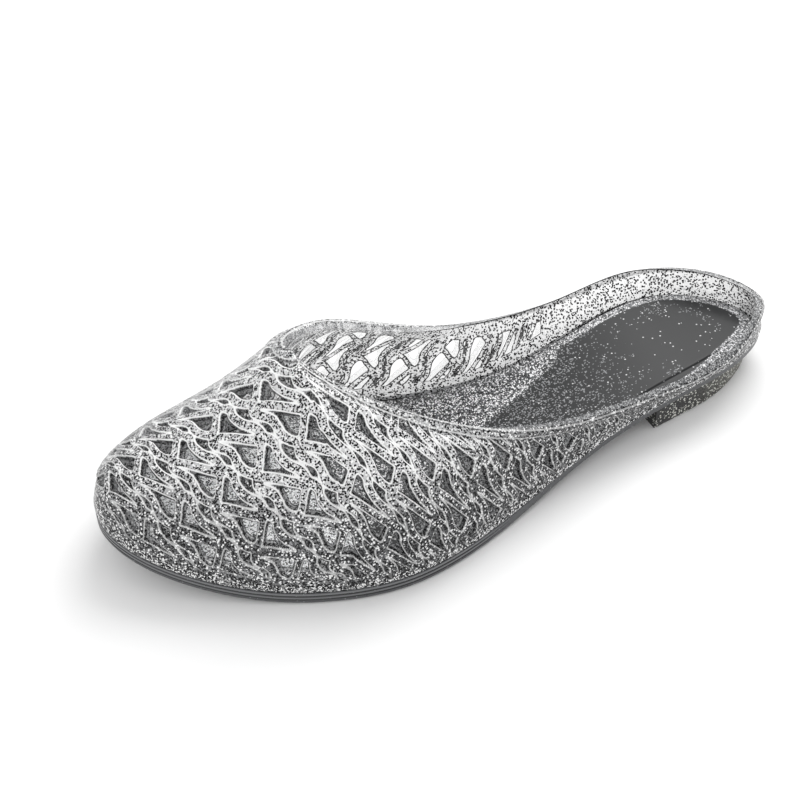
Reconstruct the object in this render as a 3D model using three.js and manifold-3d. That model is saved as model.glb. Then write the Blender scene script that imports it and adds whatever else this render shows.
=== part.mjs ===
// Jelly slipper, left foot: a see-through moulded mule with an openwork upper.
// Millimetres, +Z up, toe toward -Y, outer (lateral) side of the foot toward +X.
import * as THREE from 'three';
import Module from 'manifold-3d';

const wasm = await Module();
wasm.setup();
const { Manifold, Mesh: SolidMesh } = wasm;

// Named sizes
const LENGTH = 250;            // sole, toe tip to back of heel
const BALL_WIDTH = 96;         // sole across the ball
const THROAT_HEIGHT = 68.5;    // top of the opening over the instep
const THROAT_AT = 0.27;        // share of the length where the opening starts
const TOE_SPRING = 14.3;       // rise of the toe tip
const HEEL_HEIGHT = 10.8;      // block under the back of the seat
const SOLE_THICK = 5.0;        // outsole edge at the ball
const SEAT_THICK = 2.8;        // outsole under arch and seat
const WALL = 1.9;              // moulded wall between the strips
const STRIP_RISE = 1.3;        // strips above the wall
const BAND = 6.5;              // solid border above the sole
const BAND_OUT = 0.7;          // border proud of the wall
const RIM = 5.0;               // solid border round the opening
const BEAD = 1.1;              // bead on the rim, outward
const SOLID_FROM = 0.70;       // no openings behind this share
const FOOTBED = 1.3;           // insole pad at the ball
const FOOTBED_SEAT = 2.4;      // insole pad at the seat
const GAP = 0.3;               // clearance where moulded pieces meet
const WELT = 0.8;              // outsole edge outside the upper
const HEEL_FROM = 0.775;       // front face of the heel block
const HEEL_INSET = 1.0;        // heel block inside the sole edge
const HEEL_BACK = 3.0;         // further inset at the back of the block
const HEEL_EDGE = 1.0;         // rounded lower edge of the block
const SEAM = 0.3;              // narrow flank of a moulded edge
const PAD_LEDGE = 3.2;         // stepped edge round the insole pad
const PAD_STEP = 0.6;          // drop of that edge under the pad
const GROOVE = 0.4;            // depth of the lines round the sole edge
const SOLE_TUCK = 1.4;         // tread edge inside the sole edge

// Section tables, shares of the named sizes
// at: share of length; outer, inner: edge of the sole over the ball width
const SOLE_LINE = [
  { at: 0.00, outer: 0.000, inner: 0.000 },
  { at: 0.03, outer: 0.192, inner: -0.198 },
  { at: 0.10, outer: 0.338, inner: -0.344 },
  { at: 0.20, outer: 0.476, inner: -0.432 },
  { at: 0.34, outer: 0.565, inner: -0.427 },
  { at: 0.48, outer: 0.475, inner: -0.328 },
  { at: 0.62, outer: 0.335, inner: -0.274 },
  { at: 0.76, outer: 0.244, inner: -0.327 },
  { at: 0.89, outer: 0.172, inner: -0.362 },
  { at: 0.97, outer: 0.073, inner: -0.234 },
  { at: 1.00, outer: -0.046, inner: -0.046 },
];
// at: share from throat to heel back; height over the throat height
const OPENING = [
  { at: 0.00, outer: 0.046, inner: 0.046, height: 1.000 },
  { at: 0.04, outer: 0.189, inner: -0.085, height: 0.931 },
  { at: 0.13, outer: 0.330, inner: -0.191, height: 0.812 },
  { at: 0.27, outer: 0.398, inner: -0.234, height: 0.622 },
  { at: 0.45, outer: 0.380, inner: -0.304, height: 0.436 },
  { at: 0.65, outer: 0.296, inner: -0.396, height: 0.324 },
  { at: 0.84, outer: 0.238, inner: -0.425, height: 0.326 },
  { at: 0.95, outer: 0.106, inner: -0.252, height: 0.371 },
  { at: 1.00, outer: -0.046, inner: -0.046, height: 0.330 },
];
// at: share from toe tip to throat; height of the top line over the throat height
const TOP_LINE = [
  { at: 0.00, height: 0.282 },
  { at: 0.06, height: 0.482 },
  { at: 0.22, height: 0.565 },
  { at: 0.50, height: 0.669 },
  { at: 0.80, height: 0.854 },
  { at: 1.00, height: 1.000 },
];
// one repeat of a strip: along the foot and round it, shares of the repeat
const REPEAT_ALONG = [-1.8, -13.9];
const REPEAT_ROUND = [20.5, 7.8];
const WEAVE_ORIGIN = [37.7, 85.6];
const WEAVE_TURN = 2.0;        // strips turned upward over the toes
const STRIP = [
  { along: -0.777, round: 0.516 },
  { along: -0.780, round: 0.700 },
  { along: -0.672, round: 0.960 },
  { along: -0.765, round: 1.270 },
  { along: -0.690, round: 1.450 },
  { along: -0.123, round: 0.950 },
  { along: 0.000, round: 1.010 },
  { along: -0.100, round: 1.320 },
  { along: -0.015, round: 1.640 },
  { along: -0.160, round: 1.850 },
  { along: -0.435, round: 1.660 },
];
const HOLE_UNDER = [
  { along: -0.650, round: 0.660 },
  { along: -0.570, round: 0.960 },
  { along: -0.655, round: 1.310 },
  { along: -0.330, round: 0.980 },
  { along: -0.440, round: 0.800 },
];
const HOLE_BESIDE = [
  { along: -0.130, round: 1.100 },
  { along: -0.530, round: 1.470 },
  { along: -0.330, round: 1.610 },
  { along: -0.160, round: 1.680 },
  { along: -0.200, round: 1.330 },
];
const GROOVE_UPPER = [
  { along: -0.820, round: 0.800 },
  { along: -0.860, round: 0.940 },
  { along: -0.980, round: 0.840 },
];
const GROOVE_LOWER = [
  { along: -0.860, round: 1.120 },
  { along: -0.870, round: 1.440 },
  { along: -0.960, round: 1.320 },
];

// Smooth curves through the tables
const turn = (share) => Math.acos(1 - 2 * Math.min(1, Math.max(0, share)));
const smooth = (a, b, x) => {
  const k = Math.min(1, Math.max(0, (x - a) / (b - a)));
  return k * k * (3 - 2 * k);
};

// natural cubic spline through knots xs with values ys
function spline(xs, ys) {
  const n = xs.length;
  const m = new Array(n).fill(0);
  const c = new Array(n).fill(0);
  const d = new Array(n).fill(0);
  for (let i = 1; i < n - 1; i++) {
    const h0 = xs[i] - xs[i - 1];
    const h1 = xs[i + 1] - xs[i];
    const rhs = 6 * ((ys[i + 1] - ys[i]) / h1 - (ys[i] - ys[i - 1]) / h0);
    const den = 2 * (h0 + h1) - h0 * c[i - 1];
    c[i] = h1 / den;
    d[i] = (rhs - h0 * d[i - 1]) / den;
  }
  for (let i = n - 2; i > 0; i--) m[i] = d[i] - c[i] * m[i + 1];
  return (x) => {
    let i = 0;
    while (i < n - 2 && x > xs[i + 1]) i++;
    const h = xs[i + 1] - xs[i];
    const a = (xs[i + 1] - x) / h;
    const b = (x - xs[i]) / h;
    const bend = ((a * a * a - a) * m[i] + (b * b * b - b) * m[i + 1]) * h * h / 6;
    return a * ys[i] + b * ys[i + 1] + bend;
  };
}
const column = (table, name, size) =>
  spline(table.map((row) => turn(row.at)), table.map((row) => row[name] * size));

const soleOuter = column(SOLE_LINE, 'outer', BALL_WIDTH);
const soleInner = column(SOLE_LINE, 'inner', BALL_WIDTH);
const openOuter = column(OPENING, 'outer', BALL_WIDTH);
const openInner = column(OPENING, 'inner', BALL_WIDTH);
const openHeight = column(OPENING, 'height', THROAT_HEIGHT);
const topHeight = spline(TOP_LINE.map((row) => Math.sqrt(row.at)),
  TOP_LINE.map((row) => row.height * THROAT_HEIGHT));
const THROAT_X = OPENING[0].outer * BALL_WIDTH;

const soleX = (side, u) => (side > 0 ? soleOuter(turn(u)) : soleInner(turn(u)));
const soleY = (u) => (u - 0.5) * LENGTH;
const toeRise = (u) => TOE_SPRING * Math.max(0, (0.22 - u) / 0.22) ** 2;
const underside = (u) => toeRise(u) + HEEL_HEIGHT * smooth(0.42, 0.86, u);
const soleTop = (u) => underside(u) + SOLE_THICK
  + (SEAT_THICK - SOLE_THICK) * smooth(0.40, 0.65, u);
const padTop = (u) => soleTop(u) + FOOTBED + (FOOTBED_SEAT - FOOTBED) * smooth(0.40, 0.62, u);

// top line of the wall: over the instep before the throat, the opening behind it
function topLine(side, u) {
  const q = u / THROAT_AT;
  if (q < 1) return [THROAT_X * q ** 0.7, topHeight(Math.sqrt(q))];
  const s = turn((u - THROAT_AT) / (1 - THROAT_AT));
  return [side > 0 ? openOuter(s) : openInner(s), openHeight(s)];
}

// wall of the last on one side; t runs from the sole line (0) to the top line (1)
function wallSection(side, u) {
  const bx = soleX(side, u);
  const bz = soleTop(u);
  const [tx, tz] = topLine(side, u);
  const low = smooth(0.45, 0.62, u);
  const instep = smooth(0.05, THROAT_AT, u) * (1 - smooth(THROAT_AT, 0.42, u));
  const reach = Math.min(1, Math.abs(tx - THROAT_X) / Math.max(Math.abs(bx - THROAT_X), 1e-6));
  let slope = 0;
  if (u > THROAT_AT) slope = Math.atan2(reach, Math.sqrt(Math.max(1 - reach * reach, 1e-9)));
  slope -= side * instep * 15 * Math.PI / 180;
  const lean = Math.atan2(side * (tx - bx), tz - bz);
  const a1 = (1 - low) * slope + low * (Math.PI / 2 + lean + 0.14);
  const a0 = (1 - low) * 0.14 + low * (lean - 0.14);
  const drop = smooth(0.08, THROAT_AT, u) * (1 - smooth(THROAT_AT, 0.45, u));
  const full = side > 0 ? 1.15 : 1.1 - 0.4 * drop;
  const m = Math.hypot(tx - bx, tz - bz) * ((1 - low) * full + low);
  const y = soleY(u);
  return (t) => {
    const h0 = 2 * t ** 3 - 3 * t * t + 1;
    const h1 = t ** 3 - 2 * t * t + t;
    const h3 = t ** 3 - t * t;
    const x = h0 * bx + (1 - h0) * tx + m * side * (h1 * Math.sin(a0) - h3 * Math.cos(a1));
    const z = h0 * bz + (1 - h0) * tz + m * (h1 * Math.cos(a0) + h3 * Math.sin(a1));
    return [x, y, z];
  };
}

// girth of one side: lengths along the section from the sole line up
const STEPS = 24;
const girthCache = new Map();
function girth(side, u) {
  const key = side * (u + 1);
  if (girthCache.has(key)) return girthCache.get(key);
  const at = wallSection(side, u);
  const run = [0];
  let last = at(0);
  for (let i = 1; i <= STEPS; i++) {
    const p = at(i / STEPS);
    run.push(run[i - 1] + Math.hypot(p[0] - last[0], p[2] - last[2]));
    last = p;
  }
  const [tx, tz] = topLine(side, u);
  const gap = u > THROAT_AT ? Math.hypot(tx - THROAT_X, THROAT_HEIGHT - tz) : 0;
  const g = { at, run, length: run[STEPS], gap };
  girthCache.set(key, g);
  return g;
}
function alongGirth(g, distance) {
  let i = 0;
  while (i < STEPS - 1 && g.run[i + 1] < distance) i++;
  return (i + (distance - g.run[i]) / (g.run[i + 1] - g.run[i])) / STEPS;
}

// the upper laid flat: X round the foot from the top line, Y along the foot
const NOSE = 12;
const flatY = (u) => LENGTH * u + NOSE * (1 - Math.exp(-u / 0.03));
function shareAt(y) {
  let lo = 0;
  let hi = 1;
  for (let i = 0; i < 40; i++) {
    const mid = (lo + hi) / 2;
    if (flatY(mid) < y) lo = mid;
    else hi = mid;
  }
  return (lo + hi) / 2;
}
function flatSole(side, u) {
  const g = girth(side, u);
  return [side * (g.gap + g.length), flatY(u)];
}
function flatOpening(side, u) {
  return [side * girth(side, u).gap, flatY(u)];
}
function onLast(x, y) {
  const side = x < 0 ? -1 : 1;
  const g = girth(side, shareAt(y));
  return g.at(alongGirth(g, g.gap + g.length - Math.abs(x)));
}
const minus = (a, b) => [a[0] - b[0], a[1] - b[1], a[2] - b[2]];
const cross = (a, b) => [
  a[1] * b[2] - a[2] * b[1],
  a[2] * b[0] - a[0] * b[2],
  a[0] * b[1] - a[1] * b[0],
];
const unit = (v) => {
  const l = Math.hypot(...v) || 1;
  return v.map((c) => c / l);
};
function wrap(x, y, w, inX = 0, inY = 0) {
  const p = onLast(x, y);
  const cx = x + inX;
  const cy = y + inY;
  const du = minus(onLast(cx + 0.8, cy), onLast(cx - 0.8, cy));
  const dv = minus(onLast(cx, cy + 0.8), onLast(cx, cy - 0.8));
  const n = unit(cross(du, dv));
  return [p[0] + n[0] * w, p[1] + n[1] * w, p[2] + n[2] * w];
}
// the same by share of length and t, for the seat end
function wrapRear(side, u, t, w) {
  const s = turn(u);
  const back = (v) => (1 - Math.cos(v)) / 2;
  const p = wallSection(side, u)(t);
  const ahead = wallSection(side, back(Math.min(s + 0.01, Math.PI)))(t);
  const ds = minus(ahead, wallSection(side, back(s - 0.01))(t));
  const dt = minus(wallSection(side, u)(t + 0.02), wallSection(side, u)(t - 0.02));
  const n = unit(cross(ds, dt)).map((c) => c * side);
  return [p[0] + n[0] * w, p[1] + n[1] * w, p[2] + n[2] * w];
}

// Solids
function solidOf(points, faces) {
  return new Manifold(new SolidMesh({
    numProp: 3,
    vertProperties: new Float32Array(points.flat()),
    triVerts: new Uint32Array(faces.flat()),
  }));
}
function geometryOf(points, faces) {
  const g = new THREE.BufferGeometry();
  g.setAttribute('position', new THREE.Float32BufferAttribute(points.flat(), 3));
  g.setIndex(faces.flat());
  return g;
}
function geometryFrom(solid) {
  const m = solid.getMesh();
  const g = new THREE.BufferGeometry();
  g.setAttribute('position', new THREE.BufferAttribute(new Float32Array(m.vertProperties), 3));
  g.setIndex(new THREE.BufferAttribute(new Uint32Array(m.triVerts), 1));
  return g;
}
// closes a sheet into a body: outer and inner points, faces of the outer skin
function thicken(outer, inner, faces) {
  const n = outer.length;
  const open = new Map();
  for (const [a, b, c] of faces) {
    for (const [p, q] of [[a, b], [b, c], [c, a]]) {
      if (!open.delete(q + ',' + p)) open.set(p + ',' + q, [p, q]);
    }
  }
  const all = faces.map((f) => [...f]);
  for (const [a, b, c] of faces) all.push([a + n, c + n, b + n]);
  for (const [p, q] of open.values()) {
    all.push([q, p, p + n]);
    all.push([q, p + n, q + n]);
  }
  return { points: [...outer, ...inner], faces: all };
}

// Upper frame: border above the sole, rim round the opening, solid seat wall
// stations run from the outer side at the back, round the toe, to the inner side
const FRONT = 26;
const REAR = 10;
function offsetLoop(loop, distance) {
  return loop.map((p, i) => {
    const a = loop[Math.max(0, i - 1)];
    const b = loop[Math.min(loop.length - 1, i + 1)];
    const l = Math.hypot(b[0] - a[0], b[1] - a[1]);
    return [p[0] + distance * (b[1] - a[1]) / l, p[1] - distance * (b[0] - a[0]) / l];
  });
}
const soleStations = [];
const rimStations = [];
for (let i = -FRONT; i <= FRONT; i++) {
  const side = i < 0 ? 1 : -1;
  const k = Math.abs(i) / FRONT;
  soleStations.push({ side, u: SOLID_FROM * k ** 1.7 });
  rimStations.push({ side, u: THROAT_AT + (SOLID_FROM - THROAT_AT) * k ** 1.8 });
}
const soleLoop = soleStations.map(({ side, u }) => flatSole(side, u));
const rimLoop = rimStations.map(({ side, u }) => flatOpening(side, u));
const bandLoop = offsetLoop(soleLoop, BAND);
const rimEdgeLoop = offsetLoop(rimLoop, -RIM);
const beadLoop = offsetLoop(rimLoop, -1.8);

function frameBody() {
  const outer = [];
  const inner = [];
  const faces = [];
  const put = (at, out, into) => {
    outer.push(at(out));
    inner.push(at(-into));
    return outer.length - 1;
  };
  const deep = WALL + 0.3;
  const nudge = (loop, i, d) => {
    const q = offsetLoop(loop, d)[i];
    return [q[0] - loop[i][0], q[1] - loop[i][1]];
  };
  const rowOf = (loop, out, into, d) => loop.map(([x, y], i) => {
    const [ix, iy] = nudge(loop, i, d);
    return put((w) => wrap(x, y, w, ix, iy), out, into);
  });
  const sole = rowOf(soleLoop, BAND_OUT, deep, 2);
  const band = rowOf(bandLoop, BAND_OUT, deep, 0);
  const rimEdge = rowOf(rimEdgeLoop, BAND_OUT, deep, 0);
  const bead = rowOf(beadLoop, BEAD, deep, -1);
  const rim = rowOf(rimLoop, BEAD * 0.6, deep - 0.4, -2);
  const quad = (a, b, c, d) => faces.push([a, b, c], [a, c, d]);
  const join = (low, high) => {
    for (let i = 0; i < low.length - 1; i++) quad(low[i], high[i], high[i + 1], low[i + 1]);
  };
  join(sole, band);
  join(rimEdge, bead);
  join(bead, rim);
  // seat wall: from the last inner-side station round the back to the outer side
  const last = 2 * FRONT;
  const lowest = [...sole];
  const rows = [sole, band, rimEdge, bead, rim];
  const outs = [BAND_OUT, BAND_OUT, BAND_OUT, BEAD, BEAD * 0.6];
  let previous = rows.map((row) => row[last]);
  const first = rows.map((row) => row[0]);
  for (let i = 1; i < 2 * REAR; i++) {
    const side = i <= REAR ? -1 : 1;
    const a = turn(SOLID_FROM);
    const k = 1 - Math.abs(i - REAR) / REAR;
    const u = (1 - Math.cos(a + (Math.PI - a) * k)) / 2;
    const g = girth(side, u);
    const t = [
      0,
      Math.min(alongGirth(g, BAND), 0.42),
      Math.max(alongGirth(g, g.length - RIM), 0.6),
      alongGirth(g, g.length - 1.8),
      1,
    ];
    const next = t.map((v, j) =>
      put((w) => wrapRear(side, u, v, w), outs[j], j === 4 ? deep - 0.4 : deep));
    for (let j = 0; j < 4; j++) quad(previous[j], previous[j + 1], next[j + 1], next[j]);
    lowest.push(next[0]);
    previous = next;
  }
  for (let j = 0; j < 4; j++) quad(previous[j], previous[j + 1], first[j + 1], first[j]);
  // the lower edge follows the top of the outsole
  for (const i of lowest) {
    outer[i][2] = soleTop(outer[i][1] / LENGTH + 0.5);
    inner[i][2] = soleTop(inner[i][1] / LENGTH + 0.5);
  }
  return thicken(outer, inner, faces);
}

// Openwork: strips raised on the wall, openings between them, drawn flat
const latticePoint = (row, a, b) => {
  const p = a + row.along;
  const q = b + row.round;
  const x = WEAVE_ORIGIN[0] + p * REPEAT_ALONG[0] + q * REPEAT_ROUND[0];
  const y = WEAVE_ORIGIN[1] + p * REPEAT_ALONG[1] + q * REPEAT_ROUND[1];
  return [x - WEAVE_TURN * (1 - smooth(0.25, 0.34, y / LENGTH)), y];
};
const HALF_GIRTH = BALL_WIDTH;
const WEAVE_REACH = LENGTH * (SOLID_FROM + 0.06);
function weaveSheet() {
  const points = [];
  const known = new Map();
  const top = [];
  const bottom = [];
  const place = ([x, y], w) => {
    const key = x.toFixed(3) + ',' + y.toFixed(3) + ',' + w;
    if (!known.has(key)) {
      known.set(key, points.length);
      points.push([x, y, w]);
    }
    return known.get(key);
  };
  const counter = ([a, b, c]) => {
    const area = (b[0] - a[0]) * (c[1] - a[1]) - (c[0] - a[0]) * (b[1] - a[1]);
    return area > 0 ? [a, b, c] : [a, c, b];
  };
  const flatFaces = (contour, holes) => {
    const all = [...contour, ...holes.flat()];
    const vector = (list) => list.map((p) => new THREE.Vector2(p[0], p[1]));
    return THREE.ShapeUtils.triangulateShape(vector(contour), holes.map(vector))
      .map((f) => counter(f.map((i) => all[i])));
  };
  for (let a = -12; a <= 10; a++) {
    for (let b = -7; b <= 5; b++) {
      const strip = (i, da, db) => latticePoint(STRIP[i], a + da, b + db);
      const contour = [];
      for (let i = 0; i < STRIP.length; i++) contour.push(strip(i, 0, 0));
      contour.push(strip(0, 0, 1));
      for (let i = 8; i >= 0; i--) contour.push(strip(i, -1, 0));
      for (let i = 10; i >= 8; i--) contour.push(strip(i, -1, -1));
      const outside = contour.every(([x, y]) => Math.abs(x) > HALF_GIRTH || y < -15
        || y > WEAVE_REACH);
      if (outside) continue;
      const holes = [
        HOLE_BESIDE.map((row) => latticePoint(row, a, b)),
        HOLE_UNDER.map((row) => latticePoint(row, a - 1, b)),
      ];
      const grooves = [
        GROOVE_UPPER.map((row) => latticePoint(row, a, b)),
        GROOVE_LOWER.map((row) => latticePoint(row, a, b)),
      ];
      const raised = new Set(contour.map(String));
      const height = (p) => (raised.has(String(p)) ? STRIP_RISE : 0);
      for (const f of flatFaces(contour, [...holes, ...grooves])) {
        top.push(f.map((p) => place(p, height(p))));
      }
      for (const groove of grooves) {
        for (const f of flatFaces(groove, [])) top.push(f.map((p) => place(p, 0)));
      }
      for (const [p, q, r] of flatFaces(contour, holes)) {
        bottom.push([place(p, -WALL), place(r, -WALL), place(q, -WALL)]);
      }
    }
  }
  // close the openings and the outer edge
  const faces = [...top, ...bottom];
  const open = new Map();
  for (const [a, b, c] of top) {
    for (const [p, q] of [[a, b], [b, c], [c, a]]) {
      if (!open.delete(q + ',' + p)) open.set(p + ',' + q, [p, q]);
    }
  }
  for (const [p, q] of open.values()) {
    const under = (i) => place(points[i], -WALL);
    faces.push([q, p, under(p)]);
    faces.push([q, under(p), under(q)]);
  }
  return solidOf(points, faces);
}
// flat window between the two borders
const windowLow = offsetLoop(soleLoop, BAND - 0.8);
const windowHigh = offsetLoop(rimLoop, -(RIM - 0.8));
function windowBody() {
  const low = windowLow;
  const high = windowHigh;
  const back = (list, y) => [list[0][0], y];
  const end = LENGTH * SOLID_FROM + NOSE + 1;
  const ring = [
    back(low, end),
    ...low,
    [low[low.length - 1][0], end],
    [high[high.length - 1][0], end],
    ...[...high].reverse(),
    back(high, end),
  ];
  const faces = THREE.ShapeUtils.triangulateShape(
    ring.map((p) => new THREE.Vector2(p[0], p[1])), [])
    .map(([a, b, c]) => {
      const [p, q, r] = [ring[a], ring[b], ring[c]];
      const area = (q[0] - p[0]) * (r[1] - p[1]) - (r[0] - p[0]) * (q[1] - p[1]);
      return area > 0 ? [a, b, c] : [a, c, b];
    });
  const body = thicken(ring.map(([x, y]) => [x, y, 5]), ring.map(([x, y]) => [x, y, -5]), faces);
  return solidOf(body.points, body.faces);
}
function nearLine(x, y, line) {
  for (let i = 0; i < line.length - 1; i++) {
    const [ax, ay] = line[i];
    const dx = line[i + 1][0] - ax;
    const dy = line[i + 1][1] - ay;
    const k = Math.min(1, Math.max(0, ((x - ax) * dx + (y - ay) * dy) / (dx * dx + dy * dy)));
    if (Math.hypot(ax + k * dx - x, ay + k * dy - y) < 0.02) return true;
  }
  return false;
}
// strip ends dip into the borders
function dip(x, y, w) {
  if (!nearLine(x, y, windowLow) && !nearLine(x, y, windowHigh)) return w;
  return Math.max(-WALL + 0.1, Math.min(w, BAND_OUT - 0.4));
}
function upperGeometry() {
  const flat = weaveSheet().intersect(windowBody()).getMesh();
  const v = flat.vertProperties;
  const points = [];
  for (let i = 0; i < v.length; i += 3) {
    points.push(wrap(v[i], v[i + 1], dip(v[i], v[i + 1], v[i + 2])));
  }
  const weave = solidOf(points, [Array.from(flat.triVerts)]);
  const frame = frameBody();
  return geometryFrom(solidOf(frame.points, frame.faces).add(weave));
}

// Plates that follow the sole outline
const PAIRS = 28;
const soleRing = [];
for (let i = 0; i < 2 * PAIRS; i++) {
  const side = i <= PAIRS ? 1 : -1;
  const s = Math.PI * (side > 0 ? i : 2 * PAIRS - i) / PAIRS;
  const u = (1 - Math.cos(s)) / 2;
  soleRing.push([soleX(side, u), soleY(u)]);
}
function grow(ring, distance) {
  const n = ring.length;
  return ring.map((p, i) => {
    const a = ring[(i + n - 1) % n];
    const b = ring[(i + 1) % n];
    const l = Math.hypot(b[0] - a[0], b[1] - a[1]);
    const d = typeof distance === 'function' ? distance(p[1] / LENGTH + 0.5) : distance;
    return [p[0] + d * (b[1] - a[1]) / l, p[1] - d * (b[0] - a[0]) / l];
  });
}
// rows of { out, z } from the bottom up, z given by the share of length
function plate(rows) {
  const points = [];
  const faces = [];
  const n = soleRing.length;
  rows.forEach(({ out, z }) => {
    for (const [x, y] of grow(soleRing, out)) points.push([x, y, z(y / LENGTH + 0.5)]);
  });
  for (let r = 0; r < rows.length - 1; r++) {
    for (let j = 0; j < n; j++) {
      const k = (j + 1) % n;
      const low = r * n;
      const high = low + n;
      faces.push([low + j, low + k, high + k], [low + j, high + k, high + j]);
    }
  }
  const cap = (base, up) => {
    const outer = (i) => base + i;
    const innerSide = (i) => base + (n - i) % n;
    const add = (a, b, c) => faces.push(up ? [a, b, c] : [a, c, b]);
    add(outer(0), outer(1), innerSide(1));
    for (let i = 1; i < PAIRS - 1; i++) {
      add(innerSide(i), outer(i), outer(i + 1));
      add(innerSide(i), outer(i + 1), innerSide(i + 1));
    }
    add(innerSide(PAIRS - 1), outer(PAIRS - 1), outer(PAIRS));
  };
  cap(0, false);
  cap((rows.length - 1) * n, true);
  return geometryOf(points, faces);
}
const welt = (inset) => (u) => WELT * (1 - 0.6 * smooth(0.45, 0.7, u)) - inset;
const edgeAt = (share) => (u) =>
  underside(u) + (soleTop(u) - GAP - underside(u)) * share;
const outsole = plate([
  { out: welt(SOLE_TUCK), z: edgeAt(0) },
  { out: welt(0), z: edgeAt(0.20) },
  { out: welt(0), z: edgeAt(0.36) },
  { out: welt(GROOVE), z: edgeAt(0.43) },
  { out: welt(0), z: edgeAt(0.50) },
  { out: welt(0), z: edgeAt(0.66) },
  { out: welt(GROOVE), z: edgeAt(0.73) },
  { out: welt(0), z: edgeAt(0.80) },
  { out: welt(0), z: edgeAt(1) },
]);
// insole pad with a stepped edge, inside the wall
const PAD_INSET = WALL + SEAM + GAP + GROOVE;
const insole = plate([
  { out: -PAD_INSET, z: soleTop },
  { out: -PAD_INSET - SEAM, z: (u) => padTop(u) - PAD_STEP },
  { out: -PAD_INSET - PAD_LEDGE, z: (u) => padTop(u) - PAD_STEP },
  { out: -PAD_INSET - PAD_LEDGE - SEAM, z: padTop },
]);

// heel block under the seat, flat in front
function heelGeometry() {
  const stations = 12;
  const start = turn(HEEL_FROM);
  const line = (inset) => {
    const ring = grow(soleRing, -inset);
    const tucked = grow(soleRing, -inset - HEEL_BACK);
    const front = soleY(HEEL_FROM);
    const at = (side, u) => {
      const s = turn(u) * PAIRS / Math.PI;
      const i = Math.min(PAIRS - 1, Math.floor(s));
      const k = s - i;
      const on = (loop) => {
        const pick = (j) => loop[side > 0 ? j : (2 * PAIRS - j) % (2 * PAIRS)];
        const p = pick(i);
        const q = pick(i + 1);
        return [p[0] + (q[0] - p[0]) * k, p[1] + (q[1] - p[1]) * k];
      };
      const p = on(ring);
      const q = on(tucked);
      const w = smooth(0.86, 1, u);
      return [p[0] + (q[0] - p[0]) * w, p[1] + (q[1] - p[1]) * w];
    };
    const list = [];
    for (let j = 0; j <= 2 * stations; j++) {
      const side = j <= stations ? 1 : -1;
      const k = 1 - Math.abs(j - stations) / stations;
      const p = at(side, (1 - Math.cos(start + (Math.PI - start) * k)) / 2);
      if (j === 0 || j === 2 * stations) p[1] = front;
      list.push(p);
    }
    return list;
  };
  const topOf = (y) => underside(y / LENGTH + 0.5) - GAP;
  const rows = [
    line(HEEL_INSET + HEEL_EDGE + GROOVE).map(([x, y]) => [x, y, 0]),
    line(HEEL_INSET + GROOVE).map(([x, y]) => [x, y, HEEL_EDGE]),
    line(HEEL_INSET).map(([x, y]) => [x, y, topOf(y)]),
  ];
  const n = 2 * stations + 1;
  const points = rows.flat();
  const faces = [];
  for (let r = 0; r < 2; r++) {
    for (let j = 0; j < n; j++) {
      const k = (j + 1) % n;
      const low = r * n;
      const high = low + n;
      faces.push([low + j, low + k, high + k], [low + j, high + k, high + j]);
    }
  }
  const cap = (base, up) => {
    const add = (a, b, c) => faces.push(up ? [a, b, c] : [a, c, b]);
    for (let i = 0; i < stations - 1; i++) {
      add(base + n - 1 - i, base + i, base + i + 1);
      add(base + n - 1 - i, base + i + 1, base + n - 2 - i);
    }
    add(base + stations + 1, base + stations - 1, base + stations);
  };
  cap(0, false);
  cap(2 * n, true);
  return geometryOf(points, faces);
}

// The shoe
function mesh(name, geometry, color, roughness, opacity = 1) {
  const material = new THREE.MeshStandardMaterial({ color, roughness, metalness: 0 });
  material.transparent = opacity < 1;
  material.opacity = opacity;
  const item = new THREE.Mesh(geometry, material);
  item.name = name;
  return item;
}
const shoe = new THREE.Group();
shoe.name = 'jelly_slipper';
shoe.add(mesh('upper', upperGeometry(), 0x8f9190, 0.25, 0.75));
shoe.add(mesh('insole', insole, 0x6d6e6e, 0.4));
shoe.add(mesh('outsole', outsole, 0x4a4b4c, 0.35));
shoe.add(mesh('heel', heelGeometry(), 0x55564f, 0.35));

// origin on the ground under the middle of the bounding box
const box = new THREE.Box3().setFromObject(shoe);
const middle = box.getCenter(new THREE.Vector3());
for (const item of shoe.children) {
  item.geometry.translate(-middle.x, -middle.y, -box.min.z);
  item.geometry.computeVertexNormals();
}
export default shoe;
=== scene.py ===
"""Jelly slipper, left foot: clear moulded plastic with glitter, an openwork upper of
meandering strips, a grey sole with two fine grooves and a low heel block.
Sizes are in millimetres and are turned into metres when a mesh is made. Places that a
material reads from Object coordinates are in metres."""
import bpy
import math
import numpy as np
from mathutils import Matrix, Vector


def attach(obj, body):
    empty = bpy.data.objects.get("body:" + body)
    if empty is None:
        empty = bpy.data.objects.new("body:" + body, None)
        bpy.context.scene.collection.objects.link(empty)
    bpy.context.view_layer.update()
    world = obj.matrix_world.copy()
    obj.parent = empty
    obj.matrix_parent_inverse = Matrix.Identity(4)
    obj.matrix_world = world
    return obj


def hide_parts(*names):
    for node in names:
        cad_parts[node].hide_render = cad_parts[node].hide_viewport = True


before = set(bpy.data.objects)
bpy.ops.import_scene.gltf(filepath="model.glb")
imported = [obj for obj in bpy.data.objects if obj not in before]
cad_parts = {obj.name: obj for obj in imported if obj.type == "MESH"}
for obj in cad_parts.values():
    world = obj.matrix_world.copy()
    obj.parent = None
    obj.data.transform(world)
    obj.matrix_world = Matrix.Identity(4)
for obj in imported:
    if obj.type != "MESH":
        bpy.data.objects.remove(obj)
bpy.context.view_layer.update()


# Foot form
# The slipper is moulded round a last. Its sole line, its opening and the top line over
# the toes are charted by share of length, and the wall bows from the sole line up.
def smooth(a, b, x):
    """0 below a, 1 above b, easing in between."""
    k = np.clip((x - a) / (b - a), 0, 1)
    return k * k * (3 - 2 * k)


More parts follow.
